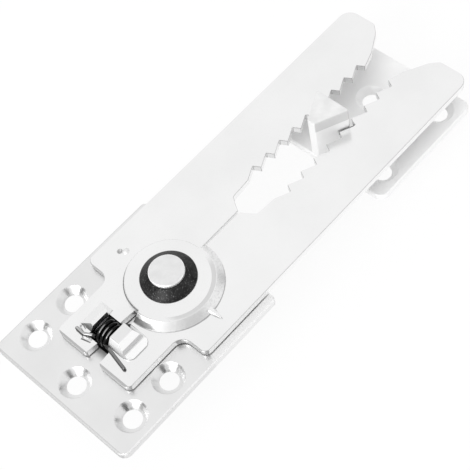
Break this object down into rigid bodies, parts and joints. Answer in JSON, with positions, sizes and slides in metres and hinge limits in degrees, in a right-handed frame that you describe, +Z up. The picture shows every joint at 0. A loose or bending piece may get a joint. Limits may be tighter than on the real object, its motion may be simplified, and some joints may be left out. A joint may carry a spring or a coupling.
{
  "type": "sectional sofa connector",
  "caption": "Two-part steel connector for sectional seating: spring-closed toothed jaws on a screw plate grip an upright wedge pin on a screw bracket.",
  "frame": {"origin": "on the pivot axis of the jaws, at the underside of the base plate", "axes": "+X from the pivot to the jaw tips, +Y to the left jaw, +Z up, out of the face that the screws enter"},
  "size_m": [0.1729, 0.06, 0.0211],
  "materials": {
    "zinc_plate": "satin",
    "polished_zinc": "polished",
    "black_steel": "satin",
    "pin_steel": "rough"
  },
  "bodies": {
    "base": {"base_plate": "zinc_plate", "pivot_rivet": "zinc_plate", "spacer_washer": "zinc_plate", "dished_washer": "black_steel", "closing_spring": "black_steel"},
    "left_jaw": {"left_jaw": "polished_zinc"},
    "right_jaw": {"right_jaw": "polished_zinc"},
    "bracket": {"pin_bracket": "zinc_plate", "wedge_pin": "pin_steel"}
  },
  "joints": [
    {"name": "left_jaw_hinge", "type": "hinge", "parent": "base", "child": "left_jaw", "pos_m": [0, 0, 0.00425], "axis": [0, 0, 1], "range_deg": [0, 3.5], "stiffness_Nm_per_rad": 4, "springref_deg": -4.58, "deforming": ["closing_spring"]},
    {"name": "right_jaw_hinge", "type": "hinge", "parent": "base", "child": "right_jaw", "pos_m": [0, 0, 0.0068], "axis": [0, 0, -1], "range_deg": [0, 3.5], "stiffness_Nm_per_rad": 4, "springref_deg": -4.58, "deforming": ["closing_spring"]},
    {"name": "bracket_slide", "type": "slide", "parent": "base", "child": "bracket", "axis": [0, 0, 1], "range_m": [-0.012, 0.0071]}
  ]
}
